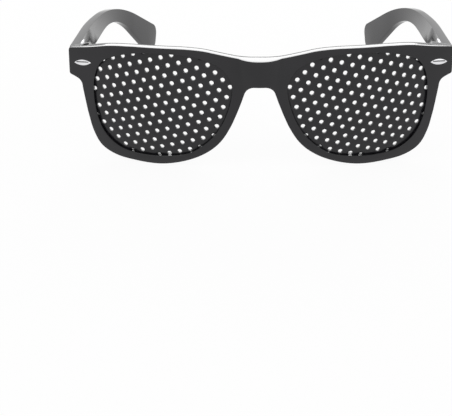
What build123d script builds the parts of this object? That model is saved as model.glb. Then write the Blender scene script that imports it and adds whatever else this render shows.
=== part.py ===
from build123d import *
import math
import os

# Pinhole glasses, standing with the temples open: X across the face, the front looks
# along -Y, Z is up from the surface that the rims and the temple tips stand on.
# Left and right are the wearer's. The left half is modelled and the right half is its mirror.
# All is modelled with the foremost point at Y 0, and the last lines centre it over its footprint.

# Front: the two openings, the rims round them and the curve of the front
lens_width = 52.6
lens_height = 40.7
lens_gap = 20.8
rim_width = 3.75
frame_thickness = 3.5
front_radius = 105.0
crown_offset = 20.0
crown_setback = 0.5
overrun = 5.0

# Brow line, bridge and end pieces
brow_wall = 2.05
brow_bridge_drop = 5.2
brow_end_drop = 3.6
end_piece_reach = 9.3
end_piece_height = 9.2
end_piece_wall = 3.05
end_piece_corner = 1.6
brow_end_slope = 8.0
under_end_drop = 3.1
under_end_fillet = 3.2
bridge_height = 8.5
arch_fillet = 5.0
bridge_band_radius = 12.5
bridge_band_width = 18.0
bridge_depth = 5.6
edge_round = 0.7

# Pinhole plates, held in a groove round each opening
plate_thickness = 1.1
plate_recess = 1.1
dome_height_share = 0.999999
groove_depth = 1.0
seat_clearance = 0.05
hole_diameter = 1.9
hole_sides = 6
hole_pitch = 4.12
row_angle = -15.4
row_lean = -57.2
hole_margin = 0.35
lattice_shift_x = 2.66
lattice_shift_z = 0.73
row_reach = 9

# Bright almond trim on each end piece
trim_length = 6.9
trim_height = 2.4
trim_thickness = 0.9
trim_proud = 0.2
trim_inset = 1.9
trim_tilt = 9.0
trim_height_share = 0.53

# Nose pads, moulded on the nose side of each rim
pad_length = 13.5
pad_width = 3.4
pad_reach = 4.6
pad_tip_length = 9.5
pad_tip_width = 1.6
pad_flare = 1.3
pad_share_index = 12

# Hinge: three barrels on one screw
joint_gap = 0.25
lug_width = 7.8
barrel_radius = 1.4
barrel_height = 2.0
barrel_gap = 0.08
barrel_clearance = 0.35
screw_radius = 0.7
bore_clearance = 0.05
screw_head_radius = 1.15
screw_head_height = 0.7
screw_slot_width = 0.35
screw_slot_depth = 0.3
leaf_thickness = 0.9
leaf_length = 10.0
leaf_seat = 0.35
tongue_length = 2.6
hinge_height_share = 0.5

# Temples
temple_thickness = 3.3
temple_length = 126.0
temple_slope = 5.3
temple_front_height = 9.4
temple_body_length = 48.0
temple_waist_height = 6.2
temple_tip_height = 15.5
taper_radius = 90.0
ear_bend_length = 77.0
ear_drop = 21.2
tip_inset = 20.3
inset_start = 56.0
inset_bend_radius = 210.0
ear_bend_radius = 36.0
tip_corner_radius = 5.0
tip_corner_share = 0.36
temple_end_round = 0.9
standing_flat = 0.05
settling_passes = 6

# Outline of the left opening, as shares of half its width and half its height
# about its centre, from the top round by the outer side
opening_shares = [
    (0.00, 1.00),
    (0.42, 0.98),
    (0.80, 0.855),
    (0.93, 0.67),
    (0.99, 0.32),
    (0.97, -0.18),
    (0.87, -0.59),
    (0.66, -0.87),
    (0.36, -0.985),
    (-0.02, -0.995),
    (-0.38, -0.91),
    (-0.68, -0.63),
    (-0.87, -0.28),
    (-0.985, 0.15),
    (-0.995, 0.45),
    (-0.86, 0.74),
    (-0.56, 0.92),
    (-0.28, 0.985),
]

lens_centre_x = lens_gap / 2 + lens_width / 2
lens_centre_z = rim_width + lens_height / 2
half_width = lens_gap / 2 + lens_width + end_piece_reach
crown_y = crown_setback + front_radius
brow_crest_height = rim_width + lens_height + brow_wall
brow_bridge_height = brow_crest_height - brow_bridge_drop
brow_end_height = brow_crest_height - brow_end_drop
arch_height = brow_bridge_height - bridge_height
end_piece_bottom = brow_end_height - end_piece_height


def front_depth(x, z, depth=0.0):
    """Distance behind the foremost plane of the front's outer surface, or of one depth below it."""
    radius = front_radius - depth
    across = abs(x) - crown_offset
    up = z - lens_centre_z
    return crown_y - math.sqrt(radius**2 - across**2 - up**2)


def opening_point(index):
    """One of the opening's points, across and up."""
    across_share, up_share = opening_shares[index]
    return (
        lens_centre_x + across_share * lens_width / 2,
        lens_centre_z + up_share * lens_height / 2,
    )


def opening_outline(grow=0.0):
    """Flat outline of the left opening, grown or shrunk all round."""
    count = len(opening_shares)
    points = [Vector(*opening_point(i)) for i in range(count)]
    grown = []
    for i, point in enumerate(points):
        along = (points[(i + 1) % count] - points[i - 1]).normalized()
        grown.append(point + Vector(-along.Y, along.X) * grow)
    with BuildSketch(Plane.XZ) as outline:
        with BuildLine():
            Spline(grown, periodic=True)
        make_face()
    return outline.sketch


# Brow line from the bridge to the end piece, as shares of the half width and of the rise
# from the bridge to the crest
brow_shares = [(0.10, 0.07), (0.29, 0.66), (0.46, 0.96), (0.60, 0.98), (0.80, 0.64)]


def front_outline():
    """Flat outline of the front's left half: the rim's ring under the brow."""
    rise = brow_crest_height - brow_bridge_height
    outer_side = lens_centre_x + lens_width / 2
    end_turn = math.radians(brow_end_slope)
    with BuildSketch(Plane.XZ) as rim_ring:
        add(opening_outline(rim_width))
        with BuildSketch(Plane.XZ, mode=Mode.SUBTRACT):
            with Locations((half_width / 2, brow_bridge_height)):
                Rectangle(
                    half_width, lens_height, align=(Align.CENTER, Align.MIN)
                )
    with BuildSketch(Plane.XZ) as outline:
        with BuildLine():
            Spline(
                [(0, brow_bridge_height)]
                + [
                    (across_share * half_width, brow_bridge_height + up_share * rise)
                    for across_share, up_share in brow_shares
                ]
                + [(half_width, brow_end_height)],
                tangents=[(1, 0), (math.cos(end_turn), -math.sin(end_turn))],
            )
            Polyline(
                (half_width, brow_end_height),
                (half_width, end_piece_bottom),
                (outer_side, end_piece_bottom - under_end_drop),
                (lens_gap / 2, arch_height),
                (0, arch_height),
                (0, brow_bridge_height),
            )
        make_face()
        add(rim_ring.sketch)
        corners = [
            (lens_gap / 2 - rim_width, arch_height, arch_fillet),
            (outer_side + rim_width, end_piece_bottom - under_end_drop / 2, under_end_fillet),
            (half_width, end_piece_bottom, end_piece_corner),
            (half_width, brow_end_height, edge_round),
        ]
        for corner_x, corner_z, corner_radius in corners:
            corner = outline.vertices().sort_by_distance((corner_x, corner_z))[0]
            fillet(corner, radius=corner_radius)
    return outline.sketch


def shell_between(front_side, back_side):
    """Spherical layer between two depths behind the outer face of the left half."""
    with BuildPart() as shell:
        with Locations((crown_offset, crown_y, lens_centre_z)):
            Sphere(front_radius - front_side)
            Sphere(front_radius - back_side, mode=Mode.SUBTRACT)
    return shell.part


def opening_prism(grow):
    """Straight bar with the opening's outline, through the whole depth of the front."""
    with BuildPart() as bar:
        extrude(opening_outline(grow), amount=front_span, both=True)
    return bar.part


# The end piece, where the trim and the hinge sit
hinge_z = end_piece_bottom + hinge_height_share * end_piece_height
joint_plane = front_depth(half_width, hinge_z) + end_piece_wall
front_span = joint_plane + overrun
trim_z = end_piece_bottom + trim_height_share * end_piece_height
axis_x = half_width - temple_thickness - barrel_clearance - barrel_radius
axis_y = joint_plane + barrel_clearance + barrel_radius
barrel_pitch = barrel_height + barrel_gap
tongue_width = 2 * barrel_radius - leaf_thickness
trim_x = half_width - trim_inset - trim_length / 2


def trim_outline(grow=0.0):
    """Almond between two arcs, leaning down towards the outer end."""
    with BuildSketch(Plane.XZ) as outline:
        with Locations(Location((trim_x, trim_z), -trim_tilt)):
            with BuildSketch(Plane.XZ, mode=Mode.PRIVATE) as almond:
                with BuildLine():
                    ThreePointArc((-trim_length / 2, 0), (0, trim_height / 2), (trim_length / 2, 0))
                    ThreePointArc((trim_length / 2, 0), (0, -trim_height / 2), (-trim_length / 2, 0))
                make_face()
            add(almond.sketch_local)
        if grow:
            offset(amount=grow, kind=Kind.ARC)
    return outline.sketch


with BuildPart() as bridge_band:
    with BuildSketch(Plane.XZ):
        add(front_outline())
        with BuildSketch(Plane.XZ, mode=Mode.INTERSECT):
            with Locations((0, arch_height)):
                Rectangle(
                    bridge_band_width / 2, lens_height, align=(Align.MIN, Align.MIN)
                )
    extrude(amount=-bridge_depth)
    with Locations((0, bridge_band_radius, arch_height)):
        Cylinder(
            bridge_band_radius,
            lens_height,
            align=(Align.CENTER, Align.CENTER, Align.MIN),
            mode=Mode.INTERSECT,
        )

with BuildPart() as end_lug:
    with BuildSketch(Plane.XZ):
        add(front_outline())
        with BuildSketch(Plane.XZ, mode=Mode.INTERSECT):
            with Locations((half_width, brow_end_height)):
                Rectangle(
                    lug_width, end_piece_height, align=(Align.MAX, Align.MAX)
                )
    extrude(amount=-joint_plane)
    add(shell_between(0, front_span), mode=Mode.INTERSECT)

pad_above = opening_point(pad_share_index + 1)
pad_beside = opening_point(pad_share_index)
pad_below = opening_point(pad_share_index - 1)
pad_lean = math.atan2(pad_below[0] - pad_above[0], pad_above[1] - pad_below[1])
pad_x = pad_beside[0] - math.cos(pad_lean) * rim_width / 2
pad_z = pad_beside[1] - math.sin(pad_lean) * rim_width / 2
pad_plane = Plane(
    origin=(pad_x, front_depth(pad_x, pad_z, frame_thickness), pad_z),
    x_dir=(math.sin(pad_lean), 0, -math.cos(pad_lean)),
    z_dir=(0, 1, 0),
)
with BuildPart() as nose_pad:
    with BuildSketch(pad_plane.offset(-frame_thickness / 2)):
        SlotOverall(pad_length, pad_width)
    with BuildSketch(pad_plane.offset(pad_reach)):
        with Locations((0, -pad_flare)):
            SlotOverall(pad_tip_length, pad_tip_width)
    loft()

groove_front = plate_recess - seat_clearance
groove_back = plate_recess + plate_thickness + seat_clearance
with BuildPart() as groove:
    add(opening_prism(groove_depth))
    add(shell_between(groove_front, groove_back), mode=Mode.INTERSECT)

with BuildPart() as front_half:
    extrude(front_outline(), amount=-front_span)
    add(shell_between(0, frame_thickness), mode=Mode.INTERSECT)
    split(bisect_by=Plane.XZ.offset(-joint_plane), keep=Keep.TOP)
    add(bridge_band.part)
    add(end_lug.part)
    add(nose_pad.part)
    add(opening_prism(0), mode=Mode.SUBTRACT)
    add(groove.part, mode=Mode.SUBTRACT)
    split(bisect_by=Plane.XY, keep=Keep.TOP)

# Seats of the trim and of the hinge's tongue
with BuildPart() as trim_seat:
    extrude(trim_outline(seat_clearance), amount=-front_span)
    trim_floor = trim_thickness - trim_proud + seat_clearance
    add(shell_between(-overrun, trim_floor), mode=Mode.INTERSECT)

tongue_height = 2 * barrel_pitch + barrel_height
with BuildPart() as tongue_seat:
    with Locations((axis_x, joint_plane, hinge_z)):
        Box(
            tongue_width + 2 * seat_clearance,
            2 * (tongue_length + seat_clearance),
            tongue_height + 2 * seat_clearance,
        )

with BuildPart() as front_frame:
    add(front_half.part)
    add(trim_seat.part, mode=Mode.SUBTRACT)
    add(tongue_seat.part, mode=Mode.SUBTRACT)
    mirror(about=Plane.YZ)
front_frame.part.label = "front_frame"

# Bright trims, pressed into the end pieces
with BuildPart() as front_trim_left:
    extrude(trim_outline(), amount=-front_span)
    add(shell_between(-trim_proud, trim_thickness - trim_proud), mode=Mode.INTERSECT)
front_trim_left.part.label = "front_trim_left"

# Pinhole plates: domed sheets with a leaning lattice of holes, moulded along the lens's own axis
lens_turn = math.asin((lens_centre_x - crown_offset) / front_radius)
plate_plane = Plane(
    origin=(lens_centre_x, front_depth(lens_centre_x, lens_centre_z), lens_centre_z),
    x_dir=(math.cos(lens_turn), math.sin(lens_turn), 0),
    z_dir=(math.sin(lens_turn), -math.cos(lens_turn), 0),
)


def hole_places():
    """Centres of the pinholes that the groove's edge leaves whole, in the plate's plane."""
    hole_edge = hole_diameter / 2 + hole_margin
    region = opening_outline(groove_depth - hole_edge).faces()[0]
    row_turn = math.radians(row_angle)
    lean_turn = math.radians(row_angle + row_lean)
    places = []
    for row in range(-row_reach, row_reach + 1):
        for step in range(-2 * row_reach, 2 * row_reach + 1):
            across = hole_pitch * (step * math.cos(row_turn) + row * math.cos(lean_turn))
            up = hole_pitch * (step * math.sin(row_turn) + row * math.sin(lean_turn))
            across += lattice_shift_x
            up += lattice_shift_z
            if math.hypot(across, up) > lens_width:
                continue
            sag = front_radius - math.sqrt(front_radius**2 - across**2 - up**2)
            seen_x = lens_centre_x + across * math.cos(lens_turn) - sag * math.sin(lens_turn)
            if region.is_inside(Vector(seen_x, 0, lens_centre_z + up)):
                places.append((across, up))
    return places


pinholes = hole_places()
with BuildPart() as pinhole_bars:
    with BuildSketch(plate_plane):
        with Locations(*pinholes):
            RegularPolygon(hole_diameter / 2, hole_sides)
    extrude(amount=-front_span)

# The sheet's dome is a free-form one, a trace less high than wide, and not an exact sphere
with BuildPart() as plate_dome:
    add(shell_between(plate_recess, plate_recess + plate_thickness))
    scale(by=(1, 1, dome_height_share), mode=Mode.REPLACE)

with BuildPart() as lens_plate_left:
    add(opening_prism(groove_depth - seat_clearance))
    add(plate_dome.part, mode=Mode.INTERSECT)
    add(pinhole_bars.part, mode=Mode.SUBTRACT, clean=False)
lens_plate_left.part.label = "lens_plate_left"

# Hinges
barrel_bore = screw_radius + bore_clearance
barrel_plane = Plane.XY.offset(hinge_z - barrel_height / 2)

with BuildPart() as front_hinge_left:
    with Locations((axis_x, joint_plane - tongue_length / 2, hinge_z)):
        Box(tongue_width, tongue_length, tongue_height)
    for side in (-1, 1):
        with BuildSketch(barrel_plane.offset(side * barrel_pitch)):
            with Locations((axis_x, axis_y)):
                Circle(barrel_radius)
            with Locations((axis_x, (joint_plane + axis_y) / 2)):
                Rectangle(tongue_width, axis_y - joint_plane)
        extrude(amount=barrel_height)
    with BuildSketch(Plane.XY):
        with Locations((axis_x, axis_y)):
            Circle(barrel_bore)
    extrude(amount=brow_end_height, mode=Mode.SUBTRACT)
front_hinge_left.part.label = "front_hinge_left"

leaf_x = half_width - temple_thickness + leaf_seat - leaf_thickness / 2
leaf_start = axis_y + barrel_radius + barrel_clearance
with BuildPart() as temple_leaf:
    with Locations((leaf_x, leaf_start + leaf_length / 2, hinge_z)):
        Box(leaf_thickness, leaf_length, tongue_height)
    fillet(
        temple_leaf.edges().filter_by(Axis.X).group_by(Axis.Y)[-1], radius=barrel_radius
    )

with BuildPart() as temple_hinge_left:
    add(temple_leaf.part)
    with BuildSketch(barrel_plane):
        with Locations((axis_x, axis_y)):
            Circle(barrel_radius)
    extrude(amount=barrel_height)
    with Locations((leaf_x, (axis_y + leaf_start) / 2, hinge_z)):
        Box(leaf_thickness, leaf_start - axis_y, barrel_height)
    with Locations(((axis_x + leaf_x) / 2, axis_y + barrel_radius / 2, hinge_z)):
        Box(leaf_x - axis_x, barrel_radius, barrel_height)
    with BuildSketch(Plane.XY):
        with Locations((axis_x, axis_y)):
            Circle(barrel_bore)
    extrude(amount=brow_end_height, mode=Mode.SUBTRACT)
temple_hinge_left.part.label = "temple_hinge_left"

with BuildPart() as hinge_screw_left:
    with BuildSketch(Plane.XY.offset(hinge_z - tongue_height / 2)):
        with Locations((axis_x, axis_y)):
            Circle(screw_radius)
    extrude(amount=tongue_height)
    with BuildSketch(Plane.XY.offset(hinge_z + tongue_height / 2)):
        with Locations((axis_x, axis_y)):
            Circle(screw_head_radius)
    extrude(amount=screw_head_height)
    with Locations((axis_x, axis_y, hinge_z + tongue_height / 2 + screw_head_height)):
        Box(
            2 * screw_head_radius,
            screw_slot_width,
            2 * screw_slot_depth,
            mode=Mode.SUBTRACT,
        )
hinge_screw_left.part.label = "hinge_screw_left"

# Temples
temple_start = joint_plane + joint_gap
temple_top = brow_end_height - (temple_front_height - end_piece_height)
slope = math.radians(temple_slope)
drop = math.radians(temple_slope + ear_drop)
bend_y = temple_start + ear_bend_length * math.cos(slope)
bend_z = temple_top - ear_bend_length * math.sin(slope)
tip_run = temple_length - ear_bend_length
tip_y = bend_y + tip_run * math.cos(drop)
tip_z = bend_z - tip_run * math.sin(drop)
heel_y = tip_y - temple_tip_height * math.sin(drop)
waist_y = bend_y - temple_waist_height * math.sin((slope + drop) / 2)
waist_z = bend_z - temple_waist_height * math.cos((slope + drop) / 2)
taper_y = temple_start + temple_body_length * math.cos(slope)
taper_z = temple_top - temple_body_length * math.sin(slope) - temple_front_height


tip_round = min(tip_corner_radius, tip_corner_share * math.hypot(tip_y - heel_y, tip_z))


def heel_height():
    """Height of the tip's lower corner that lets its rounding reach the surface."""
    height = 0
    for _ in range(settling_passes):
        forward = Vector(waist_y - heel_y, waist_z - height).normalized()
        rearward = Vector(tip_y - heel_y, tip_z - height).normalized()
        half_corner = math.radians(forward.get_angle(rearward)) / 2
        rise = (forward + rearward).normalized().Y / math.sin(half_corner) - 1
        height = -tip_round * rise - standing_flat
    return height


with BuildPart() as temple_side:
    with BuildSketch(Plane.YZ):
        with BuildLine():
            upper = FilletPolyline(
                (temple_start, temple_top),
                (bend_y, bend_z),
                (tip_y, tip_z),
                (heel_y, heel_height()),
                (waist_y, waist_z),
                (taper_y, taper_z),
                (temple_start, temple_top - temple_front_height),
                radius=[
                    ear_bend_radius,
                    tip_round,
                    tip_round,
                    ear_bend_radius - temple_waist_height,
                    taper_radius,
                ],
            )
            Line(upper @ 1, upper @ 0)
        make_face()
    extrude(amount=half_width + overrun)
    split(bisect_by=Plane.XY, keep=Keep.TOP)

centre_x = half_width - temple_thickness / 2
with BuildPart() as temple_left:
    with BuildSketch(Plane.XY):
        with BuildLine():
            FilletPolyline(
                (centre_x, temple_start),
                (centre_x, temple_start + inset_start),
                (centre_x - tip_inset, tip_y + temple_thickness),
                radius=inset_bend_radius,
            )
        trace(line_width=temple_thickness)
    extrude(amount=brow_crest_height)
    add(temple_side.part, mode=Mode.INTERSECT)
    fillet(temple_left.edges().filter_by(Axis.Z).group_by(Axis.Y)[0], radius=temple_end_round)
    with Locations((leaf_x, leaf_start + leaf_length / 2, hinge_z)):
        Box(
            leaf_thickness,
            leaf_length + 2 * seat_clearance,
            tongue_height + 2 * seat_clearance,
            mode=Mode.SUBTRACT,
        )
    with Locations((leaf_x, (temple_start + leaf_start) / 2, hinge_z)):
        Box(
            leaf_thickness,
            leaf_start - temple_start,
            barrel_height + 2 * seat_clearance,
            mode=Mode.SUBTRACT,
        )
temple_left.part.label = "temple_left"

# The right half: each left piece mirrored
pieces = [front_frame]
for left_piece in (
    lens_plate_left,
    front_trim_left,
    front_hinge_left,
    hinge_screw_left,
    temple_left,
    temple_hinge_left,
):
    with BuildPart() as right_piece:
        mirror(left_piece.part, about=Plane.YZ)
    right_piece.part.label = left_piece.part.label.replace("left", "right")
    pieces += [left_piece, right_piece]

# Origin in the middle of the footprint, on the surface
to_middle = -temple_left.part.bounding_box().max.Y / 2
os.makedirs("parts", exist_ok=True)
for piece in pieces:
    piece.part.move(Location((0, to_middle, 0)))
    export_step(piece.part, f"parts/{piece.part.label}.step")
print("pinholes in each plate:", len(pinholes))
print("left hinge axis at", axis_x, axis_y + to_middle, "and its middle at height", hinge_z)
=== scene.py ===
import math

import bmesh
import bpy
from mathutils import Matrix, Vector
from mathutils.geometry import interpolate_bezier


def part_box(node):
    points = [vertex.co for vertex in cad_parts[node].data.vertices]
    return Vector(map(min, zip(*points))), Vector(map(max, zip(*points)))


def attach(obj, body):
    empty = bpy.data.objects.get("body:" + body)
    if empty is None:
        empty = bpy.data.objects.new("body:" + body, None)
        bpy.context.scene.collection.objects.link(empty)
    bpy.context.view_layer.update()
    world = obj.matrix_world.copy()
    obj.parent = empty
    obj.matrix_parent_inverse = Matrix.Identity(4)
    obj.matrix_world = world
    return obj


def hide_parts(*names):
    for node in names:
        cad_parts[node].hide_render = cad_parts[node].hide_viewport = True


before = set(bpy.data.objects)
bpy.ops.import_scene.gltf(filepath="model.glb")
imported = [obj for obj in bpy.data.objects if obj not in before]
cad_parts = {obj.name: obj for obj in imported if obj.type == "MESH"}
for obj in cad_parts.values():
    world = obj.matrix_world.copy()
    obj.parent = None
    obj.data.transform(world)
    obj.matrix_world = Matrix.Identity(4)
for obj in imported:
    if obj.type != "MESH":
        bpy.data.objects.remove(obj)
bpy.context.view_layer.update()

# Pinhole glasses. Shapes are worked in millimetres with the foremost point at y 0,
# and putInPlace brings each finished mesh into the frame in metres.
mm = 0.001
tiny = 1e-5  # how near a cut, in millimetres, a point has to be to lie on it
level = 0.01  # how far, in millimetres, a point may be off a plane that it belongs to
frontLow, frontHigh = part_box("front_frame")
halfWidth = frontHigh.x / mm
print("frame loaded, front is", round(2 * halfWidth, 2), "mm wide")

# The front: openings, rims, brow and bridge
front = {
    "lensWidth": 52.6,
    "lensHeight": 40.7,
    "lensGap": 20.8,
    "rimWidth": 3.75,
    "thickness": 3.5,
    "radius": 105.0,  # of both domes
    "crownOffset": 20.0,  # the domes' centres stand this far off the middle
    "crownSetback": 0.5,
    "bandRadius": 12.5,  # of the rounded bridge
    "bandBlend": 0.12,
    "bandHalf": 7.0,
    "bandReach": 11.5,  # past this the dome alone shapes the face
    "archHeight": 32.6,
    "archCorner": (4.7, 32.6),
    "archRadius": 4.0,
    "topRadius": 1.1,
    "endBottom": 33.3,
    "endRadius": 0.9,
    "endDrop": 0.6,
    "underEnd": (67.5, 31.6),
    "underRadius": 3.0,
    "outerRound": 0.25,
    "openingRound": 0.3,
    "backRound": 0.05,
    "lugInner": 64.5,
    "lugStart": 61.0,
    "lugDepth": 7.2,
    "jointPlane": 18.6,
    "grooveFront": 1.05,
    "grooveBack": 2.35,
    "grooveDepth": 1.6,
    "grooveReach": 0.3,
    "openingReach": 0.9,  # an edge this near the opening's line belongs to it
    "lugRise": 0.2,
    "cornerArm": 2.0,  # a corner's straight side is given by a point this far along it
    "cornerSteps": 8,
    "topSteps": 3,
    "browSteps": 6,
    "rimSteps": 8,
    "openingSteps": 9,
    "edgeSteps": 4,
    "acrossStep": 1.5,
    "bridgeHalf": 12.0,
    "bridgeStep": 0.8,
    "upTop": 46.5,
    "upStep": 2.0,
}
lensX = front["lensGap"] / 2 + front["lensWidth"] / 2
lensZ = front["rimWidth"] + front["lensHeight"] / 2
crownY = front["crownSetback"] + front["radius"]

# The left opening about its centre, as shares of half its width and half its height
openingShares = [
    (0.00, 1.00), (0.42, 0.965), (0.79, 0.82), (0.92, 0.64), (0.985, 0.32), (0.97, -0.18),
    (0.87, -0.59), (0.66, -0.87), (0.36, -0.985), (-0.02, -0.995), (-0.38, -0.91), (-0.68, -0.63),
    (-0.87, -0.28), (-0.985, 0.15), (-0.995, 0.45), (-0.86, 0.74), (-0.56, 0.92), (-0.28, 0.985),
]
# Brow line from the middle outwards
browKeys = [
    (0, 42.5), (4, 42.55), (8, 42.95), (14.5, 44.4), (21, 45.78), (28, 46.4), (35, 46.49),
    (42, 46.5), (48, 46.45), (56, 45.95), (64, 44.5), (72.3, 43.1),
]
# The rim from under the end piece round to where the arch's corner starts
rimKeys = [
    (67.2, 29.0), (66.6, 25.0), (65.4, 18.0), (63.8, 11.2), (60.9, 5.6), (55.5, 2.3), (48, 0.8),
    (39, 0.15), (31.5, 1.2), (24.1, 3.7), (18.5, 7.0), (14.5, 10.9), (11.2, 16.2), (8.8, 21.5), (6.9, 26.3),
]


# A smooth run through given points
def smoothRun(keys, steps, closed=False):
    points = [Vector(key) for key in keys]
    count = len(points)
    run = []
    for i in range(count if closed else count - 1):
        here, there = points[i], points[(i + 1) % count]
        before = points[i - 1] if closed or i > 0 else here
        after = points[(i + 2) % count] if closed or i + 2 < count else there
        reach = (there - here).length / 3
        leave = here + (there - before).normalized() * reach
        arrive = there - (after - here).normalized() * reach
        run += interpolate_bezier(here, leave, arrive, there, steps + 1)[:-1]
    return run if closed else run + [points[-1]]


# Two runs joined by an arc where they would meet in a sharp corner, whose sides point
# to the places on the runs that are an arm away
def joinRound(first, corner, second, radius, steps, arm=1.0):
    corner = Vector(corner)
    armIn = next(p for p in reversed(first) if (p - corner).length > arm)
    armOut = next(p for p in second if (p - corner).length > arm)
    toFirst, toSecond = (armIn - corner).normalized(), (armOut - corner).normalized()
    half = toFirst.angle(toSecond) / 2
    reach = radius / math.tan(half)
    middle = corner + (toFirst + toSecond).normalized() * radius / math.sin(half)
    start = (corner + toFirst * reach - middle).normalized()
    end = (corner + toSecond * reach - middle).normalized()
    arc = [middle + start.slerp(end, i / steps).normalized() * radius for i in range(steps + 1)]
    return clearOf(first[::-1], corner, reach)[::-1] + arc + clearOf(second, corner, reach)


# The run without the leading points that its corner's arc replaces
def clearOf(run, corner, reach):
    first = next(i for i, p in enumerate(run) if (p - corner).length > reach)
    return run[first:]


# The left opening's points, grown outwards
def openingKeys(grow=0.0):
    keys = [
        Vector((lensX + a * front["lensWidth"] / 2, lensZ + b * front["lensHeight"] / 2))
        for a, b in openingShares
    ]
    grown = []
    for i, key in enumerate(keys):
        along = (keys[(i + 1) % len(keys)] - keys[i - 1]).normalized()
        grown.append(key + Vector((-along.y, along.x)) * grow)
    return grown


# Outline of the left half, from the middle of the brow round to the middle of the arch
def halfFrontRun():
    steps, arm = front["cornerSteps"], front["cornerArm"]
    brow = smoothRun(browKeys, front["browSteps"])
    side = [Vector((halfWidth, z)) for z in (browKeys[-1][1] - arm, front["endBottom"] + arm)]
    under = [Vector((halfWidth - arm, front["endBottom"] - front["endDrop"])), Vector(front["underEnd"])]
    rim = smoothRun(rimKeys, front["rimSteps"])
    arch = [Vector((x, front["archHeight"])) for x in (1, 0)]
    run = joinRound(brow, browKeys[-1], side, front["topRadius"], front["topSteps"])
    run = joinRound(run, (halfWidth, front["endBottom"]), under, front["endRadius"], steps)
    run = joinRound(run, front["underEnd"], rim, front["underRadius"], steps, front["underRadius"])
    return joinRound(run, front["archCorner"], arch, front["archRadius"], steps, front["archRadius"])


def domeDepth(x, z, depth=0.0):
    across, up = abs(x) - front["crownOffset"], z - lensZ
    return crownY - math.sqrt((front["radius"] - depth) ** 2 - across**2 - up**2)


# The domes, with the rounded bridge standing out of the dip between them
def frontDepth(x, z):
    dome = domeDepth(x, z)
    if abs(x) > front["bandReach"]:
        return dome
    band = front["bandRadius"] - math.sqrt(front["bandRadius"] ** 2 - x**2)
    blend = front["bandBlend"]
    return -blend * math.log(math.exp(-dome / blend) + math.exp(-band / blend))


# From the flat front to the bent one: y is the depth below the outer face
def bendFront(co):
    outer = frontDepth(co.x, co.z)
    inner = domeDepth(max(abs(co.x), front["bandHalf"]), co.z) + front["thickness"]
    scale = (inner - outer) / front["thickness"]
    share = (abs(co.x) - front["lugStart"]) / (front["lugInner"] - front["lugStart"])
    share = min(max(share, 0), 1)
    share = share * share * (3 - 2 * share)
    toJoint = (front["jointPlane"] - outer) / front["lugDepth"]
    return outer + co.y * (scale + share * (toJoint - scale))


def allGeometry(bm):
    return bm.verts[:] + bm.edges[:] + bm.faces[:]


def closedLoop(bm, run):
    verts = [bm.verts.new((p.x, 0, p.y)) for p in run]
    return [bm.edges.new((verts[i - 1], verts[i])) for i in range(len(verts))]


def cutAcross(bm, axis, places):
    for place in places:
        normal = Vector((0, 0, 0))
        normal[axis] = 1
        bmesh.ops.bisect_plane(
            bm, geom=allGeometry(bm), dist=tiny, plane_co=normal * place, plane_no=normal
        )


# A flat sheet of faces, turned to look forwards
def faceForwards(bm):
    if sum(f.normal.y * f.calc_area() for f in bm.faces) > 0:
        bmesh.ops.reverse_faces(bm, faces=bm.faces)


def fillSheet(bm, edges):
    bmesh.ops.triangle_fill(bm, edges=edges, use_beauty=True, use_dissolve=False, normal=(0, -1, 0))


def joinFlat(bm):
    bmesh.ops.dissolve_limit(
        bm, angle_limit=math.radians(1), use_dissolve_boundaries=False,
        verts=bm.verts, edges=bm.edges, delimit=set(),
    )


def pushFaces(bm, faces, move):
    pushed = bmesh.ops.extrude_face_region(bm, geom=faces)["geom"]
    verts = [g for g in pushed if isinstance(g, bmesh.types.BMVert)]
    bmesh.ops.translate(bm, vec=move, verts=verts)


def span(low, high, step):
    count = max(1, round((high - low) / step))
    return [low + (high - low) * i / count for i in range(1, count)]


def roundEdges(bm, edges, width, segments):
    bmesh.ops.bevel(
        bm, geom=edges, offset=width, offset_type="OFFSET", segments=segments, profile=0.5,
        affect="EDGES", clamp_overlap=True, material=-1,
    )


def sharpEdges(bm, limit=40):
    bound = math.radians(limit)
    return [e for e in bm.edges if e.is_manifold and e.calc_face_angle() > bound]


# Turns a finished bmesh into a piece of the object that rides on a body
def putInPlace(bm, name, body, material, nodes, scaled=True, smooth=35):
    if scaled:
        bmesh.ops.scale(bm, vec=(mm, mm, mm), verts=bm.verts)
        bmesh.ops.translate(bm, vec=(0, frontLow.y, 0), verts=bm.verts)
    bmesh.ops.recalc_face_normals(bm, faces=bm.faces)
    mesh = bpy.data.meshes.new(name)
    bm.to_mesh(mesh)
    bm.free()
    mesh.shade_smooth()
    mesh.set_sharp_from_angle(angle=math.radians(smooth))
    for one in material if isinstance(material, list) else [material]:
        mesh.materials.append(one)
    piece = bpy.data.objects.new(name, mesh)
    bpy.context.scene.collection.objects.link(piece)
    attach(piece, body)
    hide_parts(*nodes)
    print(name, len(mesh.polygons), "faces")
    return piece


def mirrored(bm):
    copy = bm.copy()
    bmesh.ops.scale(copy, vec=(-1, 1, 1), verts=copy.verts)
    bmesh.ops.reverse_faces(copy, faces=copy.faces)
    return copy


# A left piece and its mirror image, each with the node of its own side where it has one
def placePair(left, name, bodies, material, node=None):
    right = mirrored(left)
    for bm, side, body in ((left, "left", bodies[0]), (right, "right", bodies[1])):
        nodes = [node + "_" + side] if node else []
        putInPlace(bm, name + side.capitalize(), body, material, nodes)


# Node helpers
def addNode(tree, kind, values=None, **settings):
    node = tree.nodes.new(kind)
    for key, value in settings.items():
        setattr(node, key, value)
    for key, value in (values or {}).items():
        node.inputs[key].default_value = value
    return node


def newMaterial(name):
    material = bpy.data.materials.new(name)
    material.use_nodes = True
    tree = material.node_tree
    shader = tree.nodes["Principled BSDF"]
    place = addNode(tree, "ShaderNodeTexCoord")
    return material, tree, shader, place.outputs["Object"]


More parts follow.
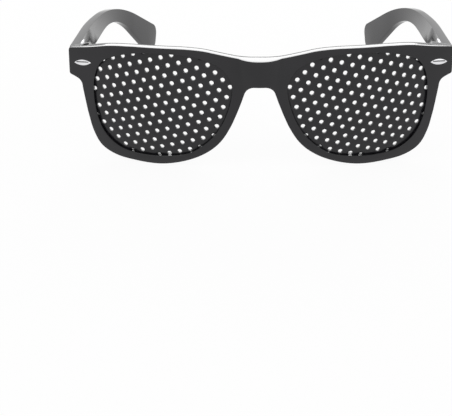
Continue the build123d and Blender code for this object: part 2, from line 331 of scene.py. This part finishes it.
# Noise in the range low to high, with the noise's size given in millimetres
def noiseRange(tree, place, size, low, high, detail=3.0):
    noise = addNode(tree, "ShaderNodeTexNoise", {"Scale": 1 / (size * mm), "Detail": detail})
    tree.links.new(place, noise.inputs["Vector"])
    # nearly all of the noise lies between these two
    limits = {"From Min": 0.3, "From Max": 0.7, "To Min": low, "To Max": high}
    spread = addNode(tree, "ShaderNodeMapRange", limits)
    tree.links.new(noise.outputs["Fac"], spread.inputs["Value"])
    return spread.outputs["Result"]


def addBump(tree, shader, height, distance):
    bump = addNode(tree, "ShaderNodeBump", {"Distance": distance * mm, "Strength": 1.0})
    tree.links.new(height, bump.inputs["Height"])
    tree.links.new(bump.outputs["Normal"], shader.inputs["Normal"])


def mixColours(tree, factor, first, second):
    mix = addNode(tree, "ShaderNodeMix", data_type="RGBA")
    mix.inputs["A"].default_value = (*first, 1)
    mix.inputs["B"].default_value = (*second, 1)
    tree.links.new(factor, mix.inputs["Factor"])
    return mix.outputs["Result"]


# Black injection-moulded plastic with faint flow marks and fine handling haze
plastic = {
    "dark": (0.0055, 0.0052, 0.0068),
    "light": (0.0095, 0.0090, 0.0112),
    "gloss": (0.05, 0.09),
    "specular": 0.42,
    "grain": 0.35,
    "grainDepth": 0.0006,
    "flowSize": 14,
    "flowDetail": 2.0,
    "hazeSize": 6,
    "refraction": 1.5,
}
# Metal with scratches that run one way
metal = {"wearSize": 0.5, "wearDetail": 4.0, "wornShare": 0.8, "hazeSize": 1.2}


def makePlastic(name, gloss, specular, grain, grainDepth):
    material, tree, shader, place = newMaterial(name)
    flow = noiseRange(tree, place, plastic["flowSize"], 0, 1, plastic["flowDetail"])
    tree.links.new(mixColours(tree, flow, plastic["dark"], plastic["light"]), shader.inputs["Base Color"])
    tree.links.new(noiseRange(tree, place, plastic["hazeSize"], *gloss), shader.inputs["Roughness"])
    addBump(tree, shader, noiseRange(tree, place, grain, 0, 1), grainDepth)
    shader.inputs["Specular IOR Level"].default_value = specular
    shader.inputs["IOR"].default_value = plastic["refraction"]
    return material


def makeMetal(name, colour, gloss, scratch, grainDepth):
    material, tree, shader, place = newMaterial(name)
    stretch = addNode(tree, "ShaderNodeMapping")
    stretch.inputs["Scale"].default_value = scratch
    tree.links.new(place, stretch.inputs["Vector"])
    wear = noiseRange(tree, stretch.outputs["Vector"], metal["wearSize"], 0, 1, metal["wearDetail"])
    darker = tuple(c * metal["wornShare"] for c in colour)
    tree.links.new(mixColours(tree, wear, darker, colour), shader.inputs["Base Color"])
    tree.links.new(noiseRange(tree, place, metal["hazeSize"], *gloss), shader.inputs["Roughness"])
    addBump(tree, shader, wear, grainDepth)
    shader.inputs["Metallic"].default_value = 1.0
    return material


framePlastic = makePlastic(
    "framePlastic", plastic["gloss"], plastic["specular"], plastic["grain"], plastic["grainDepth"]
)
platePlastic = makePlastic("platePlastic", gloss=(0.2, 0.3), specular=0.4, grain=0.3, grainDepth=0.0016)
brightTrim = makeMetal(
    "brightTrim", colour=(0.86, 0.86, 0.88), gloss=(0.08, 0.16), scratch=(1, 1, 6), grainDepth=0.0006
)
trimLine = makePlastic("trimLine", gloss=(0.3, 0.4), specular=0.3, grain=0.2, grainDepth=0.002)
hingeSteel = makeMetal(
    "hingeSteel", colour=(0.62, 0.62, 0.64), gloss=(0.22, 0.36), scratch=(1, 1, 8), grainDepth=0.0015
)
screwSteel = makeMetal(
    "screwSteel", colour=(0.7, 0.7, 0.72), gloss=(0.15, 0.28), scratch=(4, 1, 1), grainDepth=0.001
)
print("materials made")


# The front frame is cut flat, its edges are rounded, and then it is bent to the domes
def buildFrontFrame():
    opening = smoothRun(openingKeys(), front["openingSteps"], closed=True)
    bm = bmesh.new()
    fillSheet(bm, closedLoop(bm, opening) + closedLoop(bm, halfFrontRun()))
    bmesh.ops.mirror(bm, geom=allGeometry(bm), axis="X", merge_dist=1e-4)
    joinFlat(bm)
    lugInner, lugBottom = front["lugInner"], front["endBottom"] + front["lugRise"]
    cutAcross(bm, 0, (-lugInner, lugInner))
    cutAcross(bm, 2, [lugBottom])
    bmesh.ops.recalc_face_normals(bm, faces=bm.faces)
    faceForwards(bm)
    pushFaces(bm, bm.faces[:], (0, front["thickness"], 0))
    bmesh.ops.recalc_face_normals(bm, faces=bm.faces)

    # the block of each end piece, which carries the hinge
    lug = [
        f for f in bm.faces
        if f.normal.y > 0.9 and abs(f.calc_center_median().x) > lugInner
        and f.calc_center_median().z > lugBottom
    ]
    pushFaces(bm, lug, (0, front["lugDepth"] - front["thickness"], 0))

    # the groove that the plate snaps into
    cutAcross(bm, 1, (front["grooveFront"], front["grooveBack"]))
    middle = (front["grooveFront"] + front["grooveBack"]) / 2
    wall = []
    for face in bm.faces:
        centre = face.calc_center_median()
        inward = face.normal.x * (lensX - abs(centre.x)) * math.copysign(1, centre.x)
        inward += face.normal.z * (lensZ - centre.z)
        upright = abs(face.normal.y) < 0.5 and abs(centre.y - middle) < front["grooveReach"]
        if upright and inward > 0 and nearOpening(centre, opening):
            wall.append(face)
    bmesh.ops.inset_region(
        bm, faces=wall, thickness=0, depth=-front["grooveDepth"], use_boundary=True, use_even_offset=True
    )

    # rounded edges: outer face, openings, back
    for depth, atOpening, width in (
        (0, False, front["outerRound"]),
        (0, True, front["openingRound"]),
        (front["thickness"], None, front["backRound"]),
        (front["lugDepth"], None, front["backRound"]),
    ):
        chosen = []
        for edge in sharpEdges(bm):
            centre = (edge.verts[0].co + edge.verts[1].co) / 2
            atDepth = all(depth - level < v.co.y < depth + level for v in edge.verts)
            wanted = atOpening is None or atOpening == nearOpening(centre, opening)
            if atDepth and edge.is_convex and wanted:
                chosen.append(edge)
        roundEdges(bm, chosen, width, front["edgeSteps"])

    cutAcross(bm, 0, span(-halfWidth, halfWidth, front["acrossStep"]))
    cutAcross(bm, 0, span(-front["bridgeHalf"], front["bridgeHalf"], front["bridgeStep"]))
    cutAcross(bm, 2, span(0, front["upTop"], front["upStep"]))
    for vert in bm.verts:
        vert.co.y = bendFront(vert.co)
    putInPlace(bm, "frontShell", "front", framePlastic, ["front_frame"])


def nearOpening(point, opening):
    nearest = min((Vector((abs(point.x), point.z)) - p).length_squared for p in opening)
    return nearest < front["openingReach"] ** 2


buildFrontFrame()

# Pinhole plates: flat sheets with a leaning lattice of round holes, then domed
plate = {
    "thickness": 1.2,
    "recess": 1.1,
    "grown": 1.5,
    "alongPitch": 4.127,
    "alongAngle": -14.9,
    "downPitch": 4.043,
    "downAngle": -71.95,
    "shiftAcross": 2.71,
    "shiftUp": 0.57,
    "hole": 1.72,
    "holeSides": 18,
    "holeMargin": 0.2,
    "holeRound": 0.1,
    "reach": 9,
    "outlineSteps": 8,
    "roundSteps": 2,
    "sharpFrom": 60,  # degrees
    "settleTurns": 4,
}
lensTurn = math.asin((lensX - front["crownOffset"]) / front["radius"])


def plateDepth(u, v, depth):
    return front["radius"] - math.sqrt((front["radius"] - depth) ** 2 - u * u - v * v)


# A point of the front's plane, seen along y, in the plate's own tangent plane
def toPlate(point):
    v = point.y - lensZ
    u = point.x - lensX
    for _ in range(plate["settleTurns"]):
        sag = plateDepth(u, v, plate["recess"])
        u = (point.x - lensX + sag * math.sin(lensTurn)) / math.cos(lensTurn)
    return Vector((u, v))


def isInside(point, run):
    inside = False
    for i, b in enumerate(run):
        a = run[i - 1]
        if (a.y > point.y) != (b.y > point.y):
            if point.x < (b.x - a.x) * (point.y - a.y) / (b.y - a.y) + a.x:
                inside = not inside
    return inside


def holeCentres(limit):
    alongTurn, downTurn = math.radians(plate["alongAngle"]), math.radians(plate["downAngle"])
    along = Vector((math.cos(alongTurn), math.sin(alongTurn))) * plate["alongPitch"]
    down = Vector((math.cos(downTurn), math.sin(downTurn))) * plate["downPitch"]
    start = Vector((plate["shiftAcross"], plate["shiftUp"]))
    reach = plate["reach"]
    places = [
        start + along * i + down * j
        for i in range(-2 * reach, 2 * reach + 1)
        for j in range(-reach, reach + 1)
    ]
    return [p for p in places if isInside(p, limit)]


def buildPlate():
    bm = bmesh.new()
    steps = plate["outlineSteps"]
    outline = [toPlate(p) for p in smoothRun(openingKeys(plate["grown"]), steps, closed=True)]
    shrink = plate["grown"] - plate["hole"] / 2 - plate["holeMargin"]
    limit = [toPlate(p) for p in smoothRun(openingKeys(shrink), steps, closed=True)]
    edges = closedLoop(bm, outline)
    centres = holeCentres(limit)
    turn = Matrix.Rotation(math.radians(90), 3, "X")
    for centre in centres:
        ring = bmesh.ops.create_circle(
            bm, segments=plate["holeSides"], radius=plate["hole"] / 2,
            matrix=Matrix.Translation((centre.x, 0, centre.y)) @ turn.to_4x4(),
        )["verts"]
        edges += {e for v in ring for e in v.link_edges}
    fillSheet(bm, edges)
    bmesh.ops.recalc_face_normals(bm, faces=bm.faces)
    faceForwards(bm)
    pushFaces(bm, bm.faces[:], (0, plate["thickness"], 0))
    bmesh.ops.recalc_face_normals(bm, faces=bm.faces)
    roundEdges(bm, sharpEdges(bm, plate["sharpFrom"]), plate["holeRound"], plate["roundSteps"])
    origin = Vector((lensX, domeDepth(lensX, lensZ), lensZ))
    across = Vector((math.cos(lensTurn), math.sin(lensTurn), 0))
    inward = Vector((-math.sin(lensTurn), math.cos(lensTurn), 0))
    for vert in bm.verts:
        u, w, v = vert.co
        depth = plateDepth(u, v, plate["recess"] + w)
        vert.co = origin + across * u + inward * depth + Vector((0, 0, v))
    print("pinholes", len(centres))
    return bm


onFront = ("front", "front")
placePair(buildPlate(), "pinholePlate", onFront, platePlastic, "lens_plate")

# Temples: a side profile with thickness, rounded, then bent inwards towards the tip
temple = {
    "start": 18.85,
    "top": 42.7,
    "thickness": 3.3,
    "tailThickness": 2.1,
    "thinFrom": 40.0,
    "length": 125.1,
    "slope": 4.6,
    "frontHeight": 9.4,
    "bodyLength": 46.0,
    "waistHeight": 4.1,
    "tipHeight": 8.2,
    "taperRadius": 90.0,
    "earBend": 79.6,
    "earDrop": 25.0,
    "earRadius": 95.0,
    "innerRadius": 43.0,
    "tipRadius": 5.0,
    "heel": -0.55,
    "insetFrom": 61.5,
    "insetBy": 21.6,
    "insetRadius": 186.0,
    "edgeRound": 0.75,
    "endRound": 0.9,
    "bendSteps": 20,
    "tipSteps": 10,
    "taperSteps": 8,
    "edgeSteps": 4,
    "endSteps": 5,
    "cutStart": 2.0,
    "cutEnd": 140.0,
    "cutStep": 2.0,
}


# Corners of the side view, as (back, up): along the top to the tip, and back below
def templeKeys():
    t = temple
    slope, drop = math.radians(t["slope"]), math.radians(t["slope"] + t["earDrop"])
    along = Vector((math.cos(slope), -math.sin(slope)))
    begin = Vector((t["start"], t["top"]))
    bend = begin + along * t["earBend"]
    tip = bend + Vector((math.cos(drop), -math.sin(drop))) * (t["length"] - t["earBend"])
    heel = Vector((tip.x - t["tipHeight"] * math.sin(drop), t["heel"]))
    middle = (slope + drop) / 2
    waist = bend - Vector((math.sin(middle), math.cos(middle))) * t["waistHeight"]
    end = begin - Vector((0, t["frontHeight"]))
    return begin, bend, tip, heel, waist, end + along * t["bodyLength"], end


def templeProfile():
    t = temple
    begin, bend, tip, heel, waist, taper, end = templeKeys()
    run = joinRound([begin], bend, [tip], t["earRadius"], t["bendSteps"])
    run = joinRound(run, tip, [heel], t["tipRadius"], t["tipSteps"])
    run = joinRound(run, heel, [waist], t["tipRadius"], t["tipSteps"])
    run = joinRound(run, waist, [taper], t["innerRadius"], t["bendSteps"])
    return joinRound(run, taper, [end], t["taperRadius"], t["taperSteps"])


# How far the temple has turned inwards at a distance behind the front
def insetAt(y):
    t = temple
    reach = templeKeys()[2].x + t["thickness"] - t["start"] - t["insetFrom"]
    turn = math.atan2(t["insetBy"], reach)
    tangent = t["insetRadius"] * math.tan(turn / 2)
    begin = t["start"] + t["insetFrom"] - tangent
    past = y - begin
    if past <= 0:
        return 0.0
    if past < t["insetRadius"] * math.sin(turn):
        return t["insetRadius"] - math.sqrt(t["insetRadius"] ** 2 - past**2)
    return (past - tangent) * math.tan(turn)


def buildTemple():
    t = temple
    bm = bmesh.new()
    verts = [bm.verts.new((0, p.x, p.y)) for p in templeProfile()]
    pushFaces(bm, [bm.faces.new(verts)], (t["thickness"], 0, 0))
    bmesh.ops.recalc_face_normals(bm, faces=bm.faces)
    # the two upright edges at the hinge end
    ends = [
        e for e in bm.edges
        if all(v.co.y < t["start"] + level for v in e.verts)
        and abs(e.verts[0].co.z - e.verts[1].co.z) > 1
    ]
    roundEdges(bm, ends, t["endRound"], t["endSteps"])
    longOnes = [e for e in sharpEdges(bm) if abs(e.verts[0].co.x - e.verts[1].co.x) < 0.1]
    roundEdges(bm, longOnes, t["edgeRound"], t["edgeSteps"])
    cutAcross(bm, 1, span(t["start"] + t["cutStart"], t["cutEnd"], t["cutStep"]))
    thinStart = t["start"] + t["thinFrom"]
    thinLength = templeKeys()[2].x - thinStart
    for vert in bm.verts:
        share = min(max((vert.co.y - thinStart) / thinLength, 0), 1)
        thinning = 1 + (t["tailThickness"] / t["thickness"] - 1) * share
        vert.co.x = halfWidth - (t["thickness"] - vert.co.x) * thinning - insetAt(vert.co.y)
    return bm


onTemples = ("left_temple", "right_temple")
placePair(buildTemple(), "templeArm", onTemples, framePlastic, "temple")

# Bright almonds on the end pieces, with a dark line let into them
trim = {
    "length": 6.9,
    "height": 2.15,
    "x": 66.75,
    "z": 38.35,
    "tilt": 7.0,
    "thickness": 0.9,
    "proud": 0.15,
    "crown": 0.2,
    "lineWidth": 0.36,
    "lineRise": 0.32,
    "lineDepth": 0.35,
    "lineSlope": 0.02,
    "lineMargin": 1.0,
    "arcSteps": 14,
    "edgeRound": 0.22,
    "edgeSteps": 3,
    "upStep": 0.3,
    "acrossStep": 0.5,
}


def buildTrim():
    t = trim
    bm = bmesh.new()
    half, rise = t["length"] / 2, t["height"] / 2
    radius = (half**2 + rise**2) / (2 * rise)
    spread = math.asin(half / radius)
    steps = t["arcSteps"]
    upper = [
        Vector((radius * math.sin(a), radius * math.cos(a) - radius + rise))
        for a in (spread * (2 * i / steps - 1) for i in range(steps + 1))
    ]
    lower = [Vector((-p.x, -p.y)) for p in upper[1:-1]]
    fillSheet(bm, closedLoop(bm, upper + lower))
    joinFlat(bm)
    faceForwards(bm)
    pushFaces(bm, bm.faces[:], (0, t["thickness"], 0))
    bmesh.ops.recalc_face_normals(bm, faces=bm.faces)
    rimEdges = [e for e in sharpEdges(bm) if all(v.co.y < level for v in e.verts)]
    roundEdges(bm, rimEdges, t["edgeRound"], t["edgeSteps"])
    low, high = t["lineRise"] - t["lineWidth"] / 2, t["lineRise"] + t["lineWidth"] / 2
    cutAcross(bm, 2, span(-rise, rise, t["upStep"]))
    cutAcross(bm, 2, [low, high])
    cutAcross(bm, 0, span(-half, half, t["acrossStep"]))
    line = []
    for face in bm.faces:
        centre = face.calc_center_median()
        if face.normal.y < -0.9 and low < centre.z < high and abs(centre.x) < half - t["lineMargin"]:
            line.append(face)
    bmesh.ops.inset_region(
        bm, faces=line, thickness=t["lineSlope"], depth=-t["lineDepth"],
        use_boundary=True, use_even_offset=True,
    )
    for face in line:
        face.material_index = 1
    turn = Matrix.Rotation(math.radians(t["tilt"]), 3, "Y")
    for vert in bm.verts:
        x, y, z = vert.co
        crown = t["crown"] * max(0, 1 - (z / rise) ** 2) * (1 - y / t["thickness"])
        place = turn @ Vector((x, 0, z))
        across, up = t["x"] + place.x, t["z"] + place.z
        vert.co = Vector((across, frontDepth(across, up) - t["proud"] + y - crown, up))
    return bm


placePair(buildTrim(), "almondTrim", onFront, [brightTrim, trimLine], "front_trim")

# Nose pads, moulded on the nose side of each rim
pad = {
    "length": 13.5,
    "width": 3.4,
    "reach": 4.6,
    "flare": 1.3,
    "key": 12,  # the opening's point that the pad sits beside
    "around": 28,
    "along": 18,
    "bluntness": 0.8,
    "narrowing": 0.2,
    "sunk": 0.6,
    "root": 1.0,
}


def buildNosePad():
    keys = openingKeys()
    above, beside, below = keys[pad["key"] + 1], keys[pad["key"]], keys[pad["key"] - 1]
    lean = math.atan2(below.x - above.x, above.y - below.y)
    x = beside.x - math.cos(lean) * front["rimWidth"] / 2
    z = beside.y - math.sin(lean) * front["rimWidth"] / 2
    bm = bmesh.new()
    bmesh.ops.create_uvsphere(bm, u_segments=pad["around"], v_segments=pad["along"], radius=0.5)
    for vert in bm.verts:
        # a flattened drop: round at the free end, broad where it joins the rim
        vert.co.y = math.copysign(abs(2 * vert.co.y) ** pad["bluntness"], vert.co.y) / 2
    bmesh.ops.scale(bm, vec=(pad["width"], 2 * pad["reach"], pad["length"]), verts=bm.verts)
    for vert in bm.verts:
        share = max(0, vert.co.y) / pad["reach"]
        vert.co.x += pad["flare"] * share
        vert.co.z *= 1 - pad["narrowing"] * share
    turn = Matrix.Rotation(-lean, 3, "Y")
    bmesh.ops.rotate(bm, cent=(0, 0, 0), matrix=turn, verts=bm.verts)
    base = domeDepth(x, z) + front["thickness"] - pad["sunk"]
    bmesh.ops.translate(bm, vec=(x, base, z), verts=bm.verts)
    bmesh.ops.bisect_plane(
        bm, geom=allGeometry(bm), dist=tiny, plane_co=(0, base - pad["root"], 0), plane_no=(0, -1, 0),
        clear_outer=True,
    )
    bmesh.ops.holes_fill(bm, edges=[e for e in bm.edges if e.is_boundary], sides=0)
    return bm


placePair(buildNosePad(), "nosePad", onFront, framePlastic)

hinge = {"round": 0.12, "screwRound": 0.08, "roundSteps": 2, "sharpFrom": 50, "smooth": 30}


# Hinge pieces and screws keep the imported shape, with their edges broken
def breakEdges(node, name, body, material, width):
    bm = bmesh.new()
    bm.from_mesh(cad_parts[node].data)
    bmesh.ops.remove_doubles(bm, verts=bm.verts, dist=1e-6)
    joinFlat(bm)
    chosen = [e for e in sharpEdges(bm, hinge["sharpFrom"]) if e.is_convex]
    roundEdges(bm, chosen, width * mm, hinge["roundSteps"])
    putInPlace(bm, name, body, material, [node], scaled=False, smooth=hinge["smooth"])


for side, body in zip(("left", "right"), onTemples):
    end = side.capitalize()
    width, screwWidth = hinge["round"], hinge["screwRound"]
    breakEdges("front_hinge_" + side, "frontHinge" + end, "front", hingeSteel, width)
    breakEdges("temple_hinge_" + side, "templeHinge" + end, body, hingeSteel, width)
    breakEdges("hinge_screw_" + side, "hingeScrew" + end, "front", screwSteel, screwWidth)
print("all pieces made")

# Camera: looks at a point of the front from above, and is turned so that this point
# lands at its place in the picture
view = {
    "anchor": Vector((0, frontLow.y, 0.026)),
    "distance": 0.430,
    "elevation": 21.0,
    "width": 452,
    "height": 416,
    "pixelX": 259.88,
    "pixelY": 105.0,
    "focal": 1157.6,  # in pixels
    "sensor": 36.0,
}


def makeCamera():
    data = bpy.data.cameras.new("camera")
    data.sensor_width = view["sensor"]
    data.lens = view["focal"] * view["sensor"] / view["width"]
    data.dof.use_dof = False
    data.clip_start, data.clip_end = 0.01, 10
    camera = bpy.data.objects.new("camera", data)
    bpy.context.scene.collection.objects.link(camera)
    lift = math.radians(view["elevation"])
    back = Vector((0, -math.cos(lift), math.sin(lift)))
    camera.location = view["anchor"] + back * view["distance"]
    aim = (-back).to_track_quat("-Z", "Y")
    right, up = view["pixelX"] - view["width"] / 2, view["height"] / 2 - view["pixelY"]
    offset = Vector((right, up, -view["focal"]))
    camera.rotation_mode = "QUATERNION"
    camera.rotation_quaternion = aim @ offset.normalized().rotation_difference(Vector((0, 0, -1)))
    bpy.context.scene.camera = camera


makeCamera()

# Plain pale stage and soft studio light
stage = {"floor": 0.86, "white": 0.93, "world": 0.72, "size": 3.0, "roughness": 0.9, "specular": 0.1}


def makeStage():
    bm = bmesh.new()
    bmesh.ops.create_grid(bm, x_segments=2, y_segments=2, size=stage["size"] / 2)
    mesh = bpy.data.meshes.new("floor")
    bm.to_mesh(mesh)
    bm.free()
    floor = bpy.data.objects.new("floor", mesh)
    bpy.context.scene.collection.objects.link(floor)
    material = bpy.data.materials.new("paleFloor")
    material.use_nodes = True
    tree = material.node_tree
    shader = tree.nodes["Principled BSDF"]
    shader.inputs["Base Color"].default_value = (stage["floor"],) * 3 + (1,)
    shader.inputs["Roughness"].default_value = stage["roughness"]
    shader.inputs["Specular IOR Level"].default_value = stage["specular"]
    white = addNode(tree, "ShaderNodeEmission", {"Color": (1, 1, 1, 1), "Strength": 1.0})
    seen = seenDirectly(tree)
    share = addNode(tree, "ShaderNodeMath", {1: stage["white"]}, operation="MULTIPLY")
    tree.links.new(seen, share.inputs[0])
    mix = addNode(tree, "ShaderNodeMixShader")
    tree.links.new(share.outputs["Value"], mix.inputs["Fac"])
    tree.links.new(shader.outputs["BSDF"], mix.inputs[1])
    tree.links.new(white.outputs["Emission"], mix.inputs[2])
    tree.links.new(mix.outputs["Shader"], tree.nodes["Material Output"].inputs["Surface"])
    mesh.materials.append(material)


# 1 for rays from the camera, and for those that a mirror or glass sends on
def seenDirectly(tree):
    path = addNode(tree, "ShaderNodeLightPath")
    total = path.outputs["Is Camera Ray"]
    for name in ("Is Glossy Ray", "Is Transmission Ray"):
        added = addNode(tree, "ShaderNodeMath", operation="MAXIMUM")
        tree.links.new(total, added.inputs[0])
        tree.links.new(path.outputs[name], added.inputs[1])
        total = added.outputs["Value"]
    return total


def makeWorld():
    world = bpy.data.worlds.new("studio")
    world.use_nodes = True
    bpy.context.scene.world = world
    tree = world.node_tree
    light = tree.nodes["Background"]
    light.inputs["Color"].default_value = (1, 1, 1, 1)
    light.inputs["Strength"].default_value = stage["world"]
    white = addNode(tree, "ShaderNodeBackground", {"Color": (1, 1, 1, 1), "Strength": 1.0})
    mix = addNode(tree, "ShaderNodeMixShader")
    tree.links.new(seenDirectly(tree), mix.inputs["Fac"])
    tree.links.new(light.outputs["Background"], mix.inputs[1])
    tree.links.new(white.outputs["Background"], mix.inputs[2])
    tree.links.new(mix.outputs["Shader"], tree.nodes["World Output"].inputs["Surface"])


def makeLamp(name, place, width, height, power):
    data = bpy.data.lights.new(name, "AREA")
    data.shape = "RECTANGLE"
    data.size, data.size_y = width, height
    data.energy = power
    lamp = bpy.data.objects.new(name, data)
    bpy.context.scene.collection.objects.link(lamp)
    lamp.location = place
    lamp.rotation_mode = "QUATERNION"
    lamp.rotation_quaternion = (Vector(place) - view["anchor"]).to_track_quat("Z", "Y")


makeStage()
makeWorld()
makeLamp("keyLamp", (-0.5, -0.5, 0.9), 0.6, 0.6, 2.0)
makeLamp("fillLamp", (0.7, -0.2, 0.7), 0.8, 0.8, 1.0)
# behind and low, so that the faces that point up shine
makeLamp("backLamp", (0, 0.86, 0.42), 1.2, 0.26, 4.5)
bpy.context.scene.view_settings.view_transform = "Standard"
print("camera, stage and light made")
